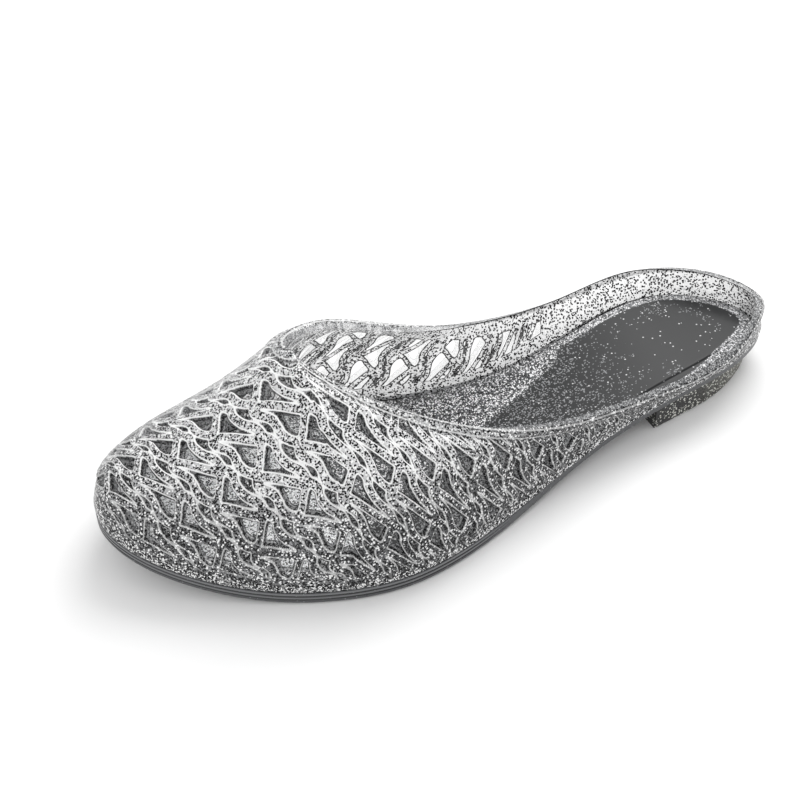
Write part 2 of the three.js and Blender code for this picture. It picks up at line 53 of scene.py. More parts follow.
def spline(xs, ys):
    """Natural cubic spline through the knots (xs, ys)."""
    xs, ys = np.array(xs, float), np.array(ys, float)
    n, h = len(xs), np.diff(xs)
    a = np.eye(n)
    r = np.zeros(n)
    for i in range(1, n - 1):
        a[i, i - 1:i + 2] = h[i - 1], 2 * (h[i - 1] + h[i]), h[i]
        r[i] = 6 * ((ys[i + 1] - ys[i]) / h[i] - (ys[i] - ys[i - 1]) / h[i - 1])
    m = np.linalg.solve(a, r)

    def at(x):
        i = np.clip(np.searchsorted(xs, x) - 1, 0, n - 2)
        s, p, q = h[i], (xs[i + 1] - x) / h[i], (x - xs[i]) / h[i]
        return (p * ys[i] + q * ys[i + 1]
                + ((p ** 3 - p) * m[i] + (q ** 3 - q) * m[i + 1]) * s * s / 6)
    return at


def turn(share):
    """Angle whose cosine runs with the share of a length, so that ends are round."""
    return np.arccos(1 - 2 * np.clip(share, 0, 1))


LENGTH, BALL_WIDTH, THROAT_HEIGHT, THROAT_AT = 250.0, 96.0, 68.5, 0.27
TOE_SPRING, HEEL_HEIGHT, SOLE_THICK, SEAT_THICK = 14.3, 10.8, 5.0, 2.8
TOE_LIFT_TO, ARCH_FROM, ARCH_TO = 0.22, 0.42, 0.86    # shares of the length
THIN_FROM, THIN_TO = 0.40, 0.65    # here the sole goes from its front to its seat thickness
SOLID_FROM, NOSE = 0.70, 12.0    # the solid seat wall starts; stretch of the flat at the toe
SHIFT = np.array([-6.251831, -0.149948, 0.0])    # from the form's middle to the box's
SOLE_AT = turn(np.array([0, .03, .10, .20, .34, .48, .62, .76, .89, .97, 1]))
sole_out = spline(SOLE_AT, BALL_WIDTH * np.array(
    [0, .192, .338, .476, .565, .475, .335, .244, .172, .073, -.046]))
sole_in = spline(SOLE_AT, BALL_WIDTH * np.array(
    [0, -.198, -.344, -.432, -.427, -.328, -.274, -.327, -.362, -.234, -.046]))
OPEN_AT = turn(np.array([0, .04, .13, .27, .45, .65, .84, .95, 1]))
open_out = spline(OPEN_AT, BALL_WIDTH * np.array(
    [.046, .189, .330, .398, .380, .296, .238, .106, -.046]))
open_in = spline(OPEN_AT, BALL_WIDTH * np.array(
    [.046, -.085, -.191, -.234, -.304, -.396, -.425, -.252, -.046]))
open_top = spline(OPEN_AT, THROAT_HEIGHT * np.array(
    [1, .931, .812, .622, .436, .324, .326, .371, .330]))
top_line = spline(np.sqrt([0, .06, .22, .50, .80, 1]), THROAT_HEIGHT * np.array(
    [.282, .482, .565, .669, .854, 1]))
THROAT_X = 0.046 * BALL_WIDTH
LEVEL = 0.45    # radians of the rim's turn at the back
LEAN = 0.14    # radians: the wall's outward lean at the sole in front, its hollow behind
INSTEP_LEAN = math.radians(15)    # slope across the top line, rising to the outer side


def sole_x(side, u):
    """x of the sole line on one side at share u of the length."""
    return np.where(side > 0, sole_out(turn(u)), sole_in(turn(u)))


def underside(u):
    """Height of the underside: a parabola up to the toe and an eased rise to the heel."""
    return (TOE_SPRING * np.clip((TOE_LIFT_TO - u) / TOE_LIFT_TO, 0, None) ** 2
            + HEEL_HEIGHT * smooth(ARCH_FROM, ARCH_TO, u))


def sole_top(u):
    """Height of the sole's upper face: the underside and the thickness there."""
    thin = smooth(THIN_FROM, THIN_TO, u)
    return underside(u) + SOLE_THICK + (SEAT_THICK - SOLE_THICK) * thin


def opening(side, u):
    """x and z of the wall's top: over the toes before the throat, the rim behind it. The
    rim's height levels out over the last LEVEL of its turn, so that it runs round evenly."""
    q = np.clip(u / THROAT_AT, 0, 1)
    s = turn((u - THROAT_AT) / (1 - THROAT_AT))
    left = math.pi - s
    level = math.pi - np.where(left < LEVEL, (left * left / LEVEL + LEVEL) / 2, left)
    x = np.where(u < THROAT_AT, THROAT_X * q ** 0.7,
                 np.where(side > 0, open_out(s), open_in(s)))
    return x, np.where(u < THROAT_AT, top_line(np.sqrt(q)), open_top(level))


def wall(side, u, t):
    """Point of the wall on one side: u the share of length, t from sole line to top.
    x, z = Hermite curve from the sole line to the top with the given end slopes."""
    bx, bz = sole_x(side, u), sole_top(u)
    tx, tz = opening(side, u)
    low = smooth(0.45, 0.62, u)
    instep = smooth(0.05, THROAT_AT, u) * (1 - smooth(THROAT_AT, 0.42, u))
    reach = np.minimum(1, abs(tx - THROAT_X) / np.maximum(abs(bx - THROAT_X), 1e-6))
    slope = np.where(u > THROAT_AT,
                     np.arctan2(reach, np.sqrt(np.maximum(1 - reach ** 2, 1e-9))), 0.0)
    slope = slope - side * instep * INSTEP_LEAN
    lean = np.arctan2(side * (tx - bx), tz - bz)
    a1 = (1 - low) * slope + low * (math.pi / 2 + lean + LEAN)
    a0 = (1 - low) * LEAN + low * (lean - LEAN)
    drop = smooth(0.08, THROAT_AT, u) * (1 - smooth(THROAT_AT, 0.45, u))
    full = np.where(side > 0, 1.15, 1.1 - 0.4 * drop)
    m = np.hypot(tx - bx, tz - bz) * ((1 - low) * full + low)
    h0, h1, h3 = 2 * t ** 3 - 3 * t * t + 1, t ** 3 - 2 * t * t + t, t ** 3 - t * t
    x = h0 * bx + (1 - h0) * tx + m * side * (h1 * np.sin(a0) - h3 * np.cos(a1))
    z = h0 * bz + (1 - h0) * tz + m * (h1 * np.cos(a0) + h3 * np.sin(a1))
    return np.stack([x, (u - 0.5) * LENGTH + 0 * x, z], -1)


# The wall laid flat: X round the foot from the top line, V along the foot, stretched
# at the nose and, behind the openings, by the run of the sole line.
U = (1 - np.cos(np.linspace(0, math.pi, 1601))) / 2
T = np.linspace(0, 1, 41)
FLAT = LENGTH * U + NOSE * (1 - np.exp(-U / 0.03))
sideways = (abs(np.diff(sole_out(turn(U)))) + abs(np.diff(sole_in(turn(U))))) / 2
RUN = np.concatenate([[0], np.cumsum(np.hypot(np.diff((U - 0.5) * LENGTH), sideways))])
V_SOLID = LENGTH * SOLID_FROM + NOSE
V = np.where(U < SOLID_FROM, FLAT, V_SOLID + RUN - np.interp(SOLID_FROM, U, RUN))
V_END = V[-1]
GIRTH, GAP_X = {}, {}
for side in (1, -1):
    section = wall(side, U[:, None], T[None])
    step = np.linalg.norm(np.diff(section, axis=1), axis=-1)
    GIRTH[side] = np.concatenate([np.zeros((len(U), 1)), np.cumsum(step, 1)], 1)
    tx, tz = opening(side, U)
    GAP_X[side] = np.where(U > THROAT_AT, np.hypot(tx - THROAT_X, THROAT_HEIGHT - tz), 0)


def on_last(x, v):
    """Flat X and V to the point on the wall: V gives the share of the length, and X is
    the run down the section from the top line, which gives t."""
    side = np.where(x < 0, -1, 1)
    u = np.interp(v, V, U)
    k = np.interp(v, V, np.arange(len(U)))
    i = np.minimum(k.astype(int), len(U) - 2)
    f = (k - i)[:, None]
    t = np.zeros(len(x))
    for s in (1, -1):
        m = side == s
        run = GIRTH[s][i[m]] * (1 - f[m]) + GIRTH[s][i[m] + 1] * f[m]
        gap = np.interp(v[m], V, GAP_X[s])
        d = gap + run[:, -1] - abs(x[m])
        j = np.clip((run < d[:, None]).sum(1) - 1, 0, len(T) - 2)
        lo = np.take_along_axis(run, j[:, None], 1)[:, 0]
        hi = np.take_along_axis(run, j[:, None] + 1, 1)[:, 0]
        t[m] = (j + (d - lo) / np.maximum(hi - lo, 1e-9)) / (len(T) - 1)
    return wall(side, u, np.clip(t, -0.02, 1.02))


# Strips and openings of the upper
# Raised strips run round the foot in even rows, each one a zigzag like a row of open
# hooks, with openings between them. One repeat is charted, in shares of it.
WALL, STRIP_RISE, BAND, BAND_OUT, RIM, BEAD = 1.9, 1.3, 6.5, 0.7, 5.0, 1.1
ALONG, ROUND, ORIGIN = np.array([-1.8, -13.9]), np.array([20.5, 7.8]), np.array([37.7, 85.6])
STRIP = np.array([
    [-.777, .516], [-.785, .600], [-.780, .690], [-.700, .800], [-.672, .950], [-.690, 1.080],
    [-.765, 1.240], [-.768, 1.360], [-.735, 1.450], [-.665, 1.480], [-.560, 1.400],
    [-.450, 1.270], [-.270, 1.056], [-.150, .960], [-.050, .940], [.005, 1.000],
    [.000, 1.100], [-.060, 1.220], [-.095, 1.330], [-.050, 1.480], [-.005, 1.620],
    [-.030, 1.760], [-.120, 1.850], [-.240, 1.830], [-.435, 1.670], [-.620, 1.530],
    [-.710, 1.500]])
HOLES = [np.array([[-.650, .660], [-.570, .960], [-.655, 1.310], [-.330, .980], [-.440, .800]]),
         np.array([[-.130, 1.100], [-.530, 1.470], [-.330, 1.610], [-.160, 1.680],
                   [-.200, 1.330]])]
HALF_STRIP = 1.75
INNER_STRIP, HOLE_EDGE, INNER_HOLE = 0.7, 1.3, 1.3    # thinner strips, cut-back openings
TOE_TURN = 2.0    # mm by which the rows turn upward over the toes


def closed_curve(points, period, n):
    """Catmull-Rom curve through points, which repeat with the given period."""
    p = np.concatenate([points[-1:] - period, points, points[:2] + period])
    out = []
    for i in range(1, len(points) + 1):
        a, b, c, d = p[i - 1:i + 3]
        for k in np.linspace(0, 1, n, endpoint=False):
            out.append(b + 0.5 * k * (c - a + k * (2 * a - 5 * b + 4 * c - d
                                                   + k * (3 * (b - c) + d - a))))
    return np.array(out + [p[len(points) + 1]])


def away(points, a, b):
    """Distance from points to the nearest of the pieces a-b."""
    best = np.full(len(points), 1e9)
    for p, q in zip(a, b):
        d = q - p
        k = np.clip(((points - p) @ d) / max(d @ d, 1e-12), 0, 1)
        best = np.minimum(best, np.hypot(*(points - p - k[:, None] * d).T))
    return best


# distance to the nearest strip and to the nearest opening, over one repeat
NA, NR = 150, 220
grid_a, grid_r = np.meshgrid(np.arange(NA) / NA, np.arange(NR) / NR, indexing="ij")
cell = grid_a.ravel()[:, None] * ALONG + grid_r.ravel()[:, None] * ROUND
curve = closed_curve(STRIP, np.array([0, 1.0]), 3)
to_strip = np.full(len(cell), 1e9)
to_hole = np.full(len(cell), 1e9)
for da in (-1, 0, 1, 2):
    for dr in (-2, -1, 0, 1):
        c = (curve[:, :1] + da) * ALONG + (curve[:, 1:] + dr) * ROUND
        to_strip = np.minimum(to_strip, away(cell, c[:-1], c[1:]))
        for hole in HOLES:
            h = (hole[:, :1] + da) * ALONG + (hole[:, 1:] + dr) * ROUND
            g = np.roll(h, -1, 0)
            d = away(cell, h, g)
            inside = np.zeros(len(cell), bool)
            for p, q in zip(h, g):
                hit = (p[1] > cell[:, 1]) != (q[1] > cell[:, 1])
                at = p[0] + (cell[:, 1] - p[1]) * (q[0] - p[0]) / (q[1] - p[1] + 1e-12)
                inside ^= hit & (cell[:, 0] < at)
            to_hole = np.minimum(to_hole, np.where(inside, -d, d))
LONG, WIDE = 14, 22    # mm, the repeat's sides to the nearest whole number
fa, fr = np.meshgrid(np.fft.fftfreq(NA, LONG / NA), np.fft.fftfreq(NR, WIDE / NR), indexing="ij")
ROUNDING = 0.42    # mm, the corners' rounding
soft = np.exp(-2 * (math.pi * ROUNDING) ** 2 * (fa ** 2 + fr ** 2))
to_strip, to_hole = [np.fft.ifft2(np.fft.fft2(t.reshape(NA, NR)) * soft).real
                     for t in (to_strip, to_hole)]
BACK = np.linalg.inv(np.array([ALONG, ROUND]))


def charted(table, x, v):
    """Looks a table of one repeat up at flat X and V."""
    x = x + TOE_TURN * (1 - smooth(0.25, 0.34, v / LENGTH))
    p, q = (np.stack([x - ORIGIN[0], v - ORIGIN[1]], -1) @ BACK).T
    p, q = p % 1 * NA, q % 1 * NR
    i, j = p.astype(int) % NA, q.astype(int) % NR
    f, g = p - np.floor(p), q - np.floor(q)
    i1, j1 = (i + 1) % NA, (j + 1) % NR
    return ((table[i, j] * (1 - f) + table[i1, j] * f) * (1 - g)
            + (table[i, j1] * (1 - f) + table[i1, j1] * f) * g)


def edges(x, v):
    """Distances inside the sole line and inside the rim, to first order."""
    out = []
    for which in ("sole", "rim"):
        f = np.zeros(len(x))
        slope = np.zeros(len(x))
        for s in (1, -1):
            m = (x >= 0) == (s > 0)
            line = GAP_X[s] + (GIRTH[s][:, -1] if which == "sole" else 0)
            square = line ** 2
            if which == "rim":
                k = np.searchsorted(U, THROAT_AT) + 4
                rate = square[k] / (V[k] - np.interp(THROAT_AT, U, V))
                square = np.where(U < THROAT_AT, rate * (V - np.interp(THROAT_AT, U, V)), square)
            f[m] = np.interp(v[m], V, square)
            slope[m] = (np.interp(v[m] + .3, V, square) - np.interp(v[m] - .3, V, square)) / .6
        g = np.sqrt(4 * x * x + slope ** 2) + 1e-6
        out.append((f - x * x) / g if which == "sole" else (x * x - f) / g)
    return out


def material(x, v):
    """Above 0 where there is plastic: strips, borders and the solid seat wall. The strips
    are narrower and the openings wider on the inner side of the foot."""
    sole, rim = edges(x, v)
    medial = 1 - smooth(-20, 0, x)
    strip = np.maximum(HALF_STRIP - INNER_STRIP * medial - charted(to_strip, x, v),
                       charted(to_hole, x, v) - HOLE_EDGE - INNER_HOLE * medial)
    solid = np.maximum(np.maximum(BAND - sole, RIM - rim), v - V_SOLID + 1)
    return np.minimum(np.minimum(sole, rim), np.maximum(strip, solid))


def inside_strip(x, v):
    """Distance inside the strips, and inside the border, rim or seat wall."""
    sole, rim = edges(x, v)
    solid = np.maximum(np.maximum(BAND - sole, RIM - rim), v - V_SOLID)
    return HALF_STRIP - 0.1 - charted(to_strip, x, v), solid


def relief(x, v):
    """Height of the outside above the wall: strips, border above the sole, rim bead."""
    sole, rim = edges(x, v)
    d = charted(to_strip, x, v)
    strip = STRIP_RISE * (1 - smooth(1.2, 1.75, d)) + 0.2 * np.exp(-((d - 1.05) / 0.25) ** 2)
    low = 1 - smooth(BAND - 0.5, BAND + 0.4, sole)
    high = 1 - smooth(RIM - 0.6, RIM + 0.3, rim)
    back = smooth(V_SOLID - 4, V_SOLID + 2, v)
    flat = np.maximum(np.maximum(low, high), back)
    bead = (BEAD - BAND_OUT) * (smooth(0.1, 1.0, rim) - smooth(2.2, 3.4, rim))
    bead = bead - 0.6 * (1 - smooth(0, 0.8, rim))
    hem = 0.3 * np.exp(-((sole - 1.0) / 0.8) ** 2)
    return strip * (1 - flat) + BAND_OUT * flat + bead + hem


HALF_GIRTH = 110    # mm, more than the wall reaches to either side of the top line


def skin(h):
    """Net of the wall in the flat: square cells of size h, whose points near an edge are
    moved onto it by material / slope. Cells that an edge still crosses are cut there.
    Gives flat points, triangles and the loose edges round the wall and its openings."""
    rows = int(round(V_END / h))
    vs = np.linspace(0, V_END, rows + 1)
    cols = int(HALF_GIRTH / h)
    xs = np.arange(-cols, cols + 1) * h
    x, v = [a.ravel() for a in np.meshgrid(xs, vs)]
    n = len(xs)
    f = material(x, v)
    e = 0.02
    near = abs(f) < 0.5 * h
    for _ in range(2):
        gx = (material(x[near] + e, v[near]) - material(x[near] - e, v[near])) / (2 * e)
        gv = (material(x[near], v[near] + e) - material(x[near], v[near] - e)) / (2 * e)
        end = (v[near] > V_END - 1e-6) | (v[near] < 1e-6)
        gv = np.where(end, 0, gv)
        g2 = np.maximum(gx ** 2 + gv ** 2, 0.3)
        step = np.clip(f[near] / g2, -0.6 * h, 0.6 * h)
        x[near] -= step * gx
        v[near] = np.clip(v[near] - step * gv, 0, V_END)
        f[near] = material(x[near], v[near])
    f[near] = 0
    # the last row of one side is the last row of the other
    ids = np.arange(len(x))
    last = ids.reshape(rows + 1, n)[-1]
    ids[last[:cols]] = last[::-1][:cols]
    r, c = np.meshgrid(np.arange(rows), np.arange(n - 1), indexing="ij")
    a = (r * n + c).ravel()
    b, d, k = a + 1, a + n, a + n + 1
    odd = ((r + c) % 2 == 1).ravel()
    tri = np.concatenate([
        np.stack([a, b, k], 1)[~odd], np.stack([a, k, d], 1)[~odd],
        np.stack([a, b, d], 1)[odd], np.stack([b, k, d], 1)[odd]])
    keep = (f[tri] > 0).any(1) | ((f[tri] == 0).all(1)
            & (material(x[tri].mean(1), v[tri].mean(1)) > 0))
    tri = tri[keep]
    cut = (f[tri] < 0).any(1)
    mixed, tri = tri[cut], [tri[~cut]]
    new, made = {}, []
    px, pv = list(x), list(v)

    def middle(p, q):
        key = (min(p, q), max(p, q))
        if key not in new:
            k = f[p] / (f[p] - f[q])
            new[key] = len(px)
            px.append(x[p] + (x[q] - x[p]) * k)
            pv.append(v[p] + (v[q] - v[p]) * k)
        return new[key]
    for t in mixed:
        ring = []
        for i in range(3):
            p, q = t[i], t[(i + 1) % 3]
            if f[p] >= 0:
                ring.append(p)
            if (f[p] > 0 and f[q] < 0) or (f[p] < 0 and f[q] > 0):
                ring.append(middle(p, q))
        for i in range(1, len(ring) - 1):
            made.append([ring[0], ring[i], ring[i + 1]])
    tri = np.concatenate(tri + ([np.array(made)] if made else []))
    x, v = np.array(px), np.array(pv)
    ids = np.concatenate([ids, np.arange(len(ids), len(x))])
    tri = ids[tri]
    tri = tri[(tri[:, 0] != tri[:, 1]) & (tri[:, 1] != tri[:, 2]) & (tri[:, 2] != tri[:, 0])]
    used, tri = np.unique(tri, return_inverse=True)
    tri = tri.reshape(-1, 3)
    pairs = np.concatenate([tri[:, [0, 1]], tri[:, [1, 2]], tri[:, [2, 0]]])
    code = pairs[:, 0].astype(np.int64) * len(used) + pairs[:, 1]
    back = pairs[:, 1].astype(np.int64) * len(used) + pairs[:, 0]
    loose = pairs[~np.isin(code, back)]
    return x[used], v[used], tri, loose


def normals(p, tri):
    """Mean normal of the triangles round each point, evened out over its neighbours."""
    n = np.cross(p[tri[:, 1]] - p[tri[:, 0]], p[tri[:, 2]] - p[tri[:, 0]])
    for _ in range(3):
        out = np.zeros_like(p)
        for i in range(3):
            for k in range(3):
                out[:, k] += np.bincount(tri[:, i], n[:, k], len(p))
        out /= np.maximum(np.linalg.norm(out, axis=1, keepdims=True), 1e-12)
        n = out[tri].sum(1)
    return out


def mesh(name, points, faces, node=None):
    """A smooth mesh from points in mm from the form's middle, riding on the shoe."""
    m = bpy.data.meshes.new(name)
    faces = np.asarray(faces, np.int32)
    k = faces.shape[1]
    m.vertices.add(len(points))
    m.vertices.foreach_set("co", ((points + SHIFT) * 0.001).astype(np.float32).ravel())
    m.loops.add(faces.size)
    m.loops.foreach_set("vertex_index", faces.ravel())
    m.polygons.add(len(faces))
    m.polygons.foreach_set("loop_start", np.arange(0, faces.size, k, dtype=np.int32))
    m.polygons.foreach_set("loop_total", np.full(len(faces), k, np.int32))
    m.polygons.foreach_set("use_smooth", np.ones(len(faces), bool))
    m.update(calc_edges=True)
    o = bpy.data.objects.new(name, m)
    bpy.context.scene.collection.objects.link(o)
    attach(o, "root")
    if node:
        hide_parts(node)
    return o


def attribute(o, name, values):
    """Keeps one number for each point on the mesh, for its material to read."""
    o.data.attributes.new(name, "FLOAT", "POINT").data.foreach_set(
        "value", np.asarray(values, np.float32))


# Upper, outside
# One moulding in clear plastic. Its outside carries the strips, the border above the
# sole and the beaded rim. The edges of every opening join it to the inside.
DEPTH, ON_SOLE = WALL + 0.2, 0.02    # mm: wall down to its inner face; as good as on the sole line
ox, ov, otri, oloose = skin(0.56)
base = on_last(ox, ov)
turned = normals(base, otri)
sole_d, rim_d = edges(ox, ov)
outside = base + turned * relief(ox, ov)[:, None]
inner = base - turned * DEPTH
lower = sole_d < ON_SOLE
for p in (outside, inner):
    p[lower, 2] = sole_top(p[lower, 1] / LENGTH + 0.5)
count = len(ox)
rim_points = np.unique(oloose)
number = np.full(count, -1)
number[rim_points] = count + np.arange(len(rim_points))
a, b = oloose.T
sides = np.concatenate([np.stack([b, a, number[a]], 1), np.stack([b, number[a], number[b]], 1)])
upper = mesh("upper_skin", np.concatenate([outside, inner[rim_points]]),
             np.concatenate([otri, sides]), "upper")
strip_d, solid_d = inside_strip(ox, ov)
for label, values in (("strip", strip_d), ("solid", solid_d), ("rim", rim_d), ("sole", sole_d)):
    attribute(upper, label, np.concatenate([values, values[rim_points]]))
attribute(upper, "depth", np.concatenate([np.zeros(count), np.ones(len(rim_points))]))


def srgb(code):
    """#rrggbb to linear red, green, blue, alpha."""
    v = [int(code[i:i + 2], 16) / 255 for i in (1, 3, 5)]
    return [c / 12.92 if c <= 0.04045 else ((c + 0.055) / 1.055) ** 2.4 for c in v] + [1.0]


def node(tree, kind, *values, out=0, **settings):
    """Adds a shader node with its settings. Values are its inputs in order, or one dict of
    them by index or name; a socket is linked. Gives the output asked for."""
    n = tree.nodes.new("ShaderNode" + kind)
    for k, v in settings.items():
        setattr(n, k, v)
    given = values[0] if values and isinstance(values[0], dict) else dict(enumerate(values))
    for k, v in given.items():
        if isinstance(v, bpy.types.NodeSocket):
            tree.links.new(v, n.inputs[k])
        else:
            n.inputs[k].default_value = v
    return n.outputs[out]


EASE = {"interpolation_type": "SMOOTHSTEP"}
TIMES = {"operation": "MULTIPLY"}
MOST = {"operation": "MAXIMUM"}
MIXED = {"data_type": "RGBA", "out": 2}    # colours are inputs 6 and 7, the share input 0


def new_material(name):
    """A material with one Principled shader: the material, its tree and the shader."""
    m = bpy.data.materials.new(name)
    m.use_nodes = True
    t = m.node_tree
    t.nodes.clear()
    out = t.nodes.new("ShaderNodeOutputMaterial")
    shader = t.nodes.new("ShaderNodeBsdfPrincipled")
    t.links.new(shader.outputs[0], out.inputs[0])
    return m, t, shader


def flakes(t, spacing, size, dark, bright, shift=0.0):
    """Glitter cast into the plastic: one flake to a cell of the given spacing in mm, drawn
    as coarse as it needs to show. Gives masks of dark and of bright flakes, and a random
    share for each."""
    co = node(t, "TexCoord", out="Object")
    if shift:
        away_by = (shift, shift * .7, shift * .4)
        co = node(t, "VectorMath", co, away_by, operation="ADD")
    voronoi = {"Vector": co, "Scale": 1000.0 / spacing}
    distance = node(t, "TexVoronoi", voronoi, out="Distance", voronoi_dimensions="3D")
    part = node(t, "SeparateColor", distance.node.outputs["Color"])
    near = node(t, "Math", distance, size, operation="LESS_THAN")
    low = node(t, "Math", part, dark, operation="LESS_THAN")
    high = node(t, "Math", part, 1 - bright, operation="GREATER_THAN")
    is_dark = node(t, "Math", near, low, **TIMES)
    return is_dark, node(t, "Math", near, high, **TIMES), part.node.outputs[1]


def band(t, d, at, half):
    """1 on the line where the distance d is at, easing to 0 at the given half width."""
    off = node(t, "Math", node(t, "Math", d, at, operation="SUBTRACT"), operation="ABSOLUTE")
    return node(t, "MapRange", off, half * 0.55, half, 1.0, 0.0, **EASE)


# Clear PVC, injection moulded, with black and silver glitter. Low down it is painted grey,
# as shade from the dark inside; higher up and on the far side it is painted white, as light
# that comes through. Each strip has painted highlights along both edges and painted shade
# lines outside them.
GLITTER, FINE_GLITTER, FINE_SHIFT = 0.62, 0.42, 0.003    # mm apart, twice; shift in m
m, t, shader = new_material("clear PVC, injection moulded, glitter")
is_dark, is_bright, _ = flakes(t, GLITTER, 0.56, .66, .25)
small_dark, small_bright, _ = flakes(t, FINE_GLITTER, 0.6, .5, .5, FINE_SHIFT)
strip, solid, rim, sole, depth = [
    node(t, "Attribute", out="Fac", attribute_name=k)
    for k in ("strip", "solid", "rim", "sole", "depth")]
across, along, up = node(t, "SeparateXYZ", node(t, "TexCoord", out="Object")).node.outputs
plain = node(t, "MapRange", solid, -0.4, 0.2, **EASE)
on_strip = node(t, "MapRange", strip, 0.15, 0.3, **EASE)
# painted shade lines and painted highlight lines: distances in mm from a strip's edge, the rim and
# the sole
fade = node(t, "MapRange", solid, 0.0, 1.8, 1.0, 0.2, **EASE)
# foot: painted shade lines at the foot of each strip, beside the rim bead and at the sole line
foot = node(t, "Math", band(t, strip, 0.05, 0.34), fade, **TIMES)
for d, at, half in ((rim, 3.75, 0.35), (rim, 1.1, 0.25), (sole, 0.12, 0.3)):
    foot = node(t, "Math", foot, band(t, d, at, half), **MOST)
fade = node(t, "MapRange", solid, 0.0, 3.0, 1.0, 0.25, **EASE)
# line: painted highlights along each strip's edges and on the rim bead
line = node(t, "Math", band(t, strip, 0.50, 0.23), fade, **TIMES)
for at in (0.40, 3.1):
    rim_highlight = node(t, "Math", band(t, rim, at, 0.26), .7, **TIMES)
    line = node(t, "Math", line, rim_highlight, **MOST)
# the inner side of the foot behind the throat, painted paler for the light that comes through it
behind_throat = node(t, "MapRange", along, -.020, .020, **EASE)
off_bead = node(t, "MapRange", rim, 1.2, 2.2, **EASE)
off_rim = node(t, "Math", off_bead, behind_throat, **TIMES)
off_rim = node(t, "Math", node(t, "MapRange", rim, 5.0, 7.0, **EASE), off_rim, **MOST)
medial = node(t, "MapRange", across, -.030, -.010, 1.0, 0.0, **EASE)
medial = node(t, "Math", medial, off_rim, **TIMES)
from_throat = node(t, "MapRange", along, -.066, -.030, **EASE)
medial = node(t, "Math", medial, from_throat, **TIMES)
far = node(t, "MapRange", medial, 0.0, 1.0, **EASE)
# share of painted light: more higher up and on the inner side
high = node(t, "Math", node(t, "MapRange", up, .024, .050, **EASE), medial, **MOST)
# colours of the strips, of the grooves between them and of the plain wall: painted dark low
# down as shade, the grooves darkest, and pale higher up and on the inner side as light coming
# through
some_bright = node(t, "Math", small_bright, .5, **TIMES)
ribbon = node(t, "Mix", {0: high, 6: srgb("#58595b"), 7: srgb("#f7f7f8")}, **MIXED)
groove = node(t, "Mix", {0: high, 6: srgb("#1b1c1e"), 7: srgb("#a9aaac")}, **MIXED)
groove = node(t, "Mix", {0: medial, 6: groove, 7: srgb("#e2e2e3")}, **MIXED)
groove = node(t, "Mix", {0: some_bright, 6: groove, 7: srgb("#b9babc")}, **MIXED)
smooth_wall = node(t, "Mix", {0: high, 6: srgb("#48494b"), 7: srgb("#e4e5e6")}, **MIXED)
smooth_wall = node(t, "Mix", {0: some_bright, 6: smooth_wall, 7: srgb("#d0d1d2")}, **MIXED)
c = node(t, "Mix", {0: on_strip, 6: groove, 7: ribbon}, **MIXED)
c = node(t, "Mix", {0: plain, 6: c, 7: smooth_wall}, **MIXED)
c = node(t, "Mix", {0: is_bright, 6: c, 7: srgb("#fafafa")}, **MIXED)
# denser glitter in the lowest band above the sole
hem = node(t, "MapRange", sole, 2.2, 2.8, 1.0, 0.0, **EASE)
hem_bright = node(t, "Math", hem, small_bright, **TIMES)
c = node(t, "Mix", {0: hem_bright, 6: c, 7: srgb("#ffffff")}, **MIXED)
# fewer black flecks on the inner side, as part of its painted light
fewer = node(t, "MapRange", medial, 0.0, 1.0, 1.0, 0.25, **EASE)
is_dark = node(t, "Math", is_dark, fewer, **TIMES)
hem_dark = node(t, "Math", hem, node(t, "Math", small_dark, .7, **TIMES), **TIMES)
black = node(t, "Math", is_dark, hem_dark, **MOST)
c = node(t, "Mix", {0: black, 6: c, 7: srgb("#080809")}, **MIXED)
# painted shade lines weaker on the inner side, painted highlights dimmer low down
foot = node(t, "Math", foot, node(t, "MapRange", medial, 0.0, 1.0, .75, .35, **EASE), **TIMES)
line = node(t, "Math", line, node(t, "MapRange", high, 0.0, 1.0, .62, 1.0, **EASE), **TIMES)
c = node(t, "Mix", {0: foot, 6: c, 7: srgb("#161719")}, **MIXED)
c = node(t, "Mix", {0: line, 6: c, 7: srgb("#f6f6f6")}, **MIXED)
# the edges of the openings, from the outside down to the inside: painted dark on the near side as
# shade, pale on the inner side as light coming through
cut = node(t, "MapRange", depth, 0.05, 0.3, **EASE)
edge = node(t, "Mix", {0: far, 6: srgb("#7c7d7f"), 7: srgb("#f0f0f1")}, **MIXED)
edge = node(t, "Mix", {0: small_bright, 6: edge, 7: srgb("#d9dadb")}, **MIXED)
edge_dark = node(t, "MapRange", far, 0.0, 1.0, .6, .1, **EASE)
edge_dark = node(t, "Math", small_dark, edge_dark, **TIMES)
edge = node(t, "Mix", {0: edge_dark, 6: edge, 7: srgb("#232426")}, **MIXED)
c = node(t, "Mix", {0: cut, 6: c, 7: edge}, **MIXED)
t.links.new(c, shader.inputs["Base Color"])
# how much each covers of what lies behind the clear plastic; the inner side and the
# openings' edges are made clearer, so that they look lit through
strip_cover = node(t, "Math", on_strip, .6, **TIMES)
cover = node(t, "Math", strip_cover, node(t, "Math", plain, .45, **TIMES), **MOST)
cover = node(t, "Math", cover, 0.3, **MOST)
for mask, share in ((is_bright, .85), (black, .97), (line, .92), (foot, .85), (hem, .9)):
    cover = node(t, "Math", cover, node(t, "Math", mask, share, **TIMES), **MOST)
far_cut = node(t, "Math", cut, far, **TIMES)
for place, left in ((medial, 0.4), (cut, 0.6), (far_cut, 0.4)):
    cover = node(t, "Math", cover, node(t, "MapRange", place, 0.0, 1.0, 1.0, left, **EASE), **TIMES)
t.links.new(cover, shader.inputs["Alpha"])
# the openings' edges are given a painted glow, which stands in for light that the plastic passes on
t.links.new(c, shader.inputs["Emission Color"])
t.links.new(node(t, "Math", cut, .12, **TIMES), shader.inputs["Emission Strength"])
shader.inputs["Roughness"].default_value = 0.22
shader.inputs["IOR"].default_value = 1.5
shader.inputs["Specular IOR Level"].default_value = 0.2
upper.data.materials.append(m)

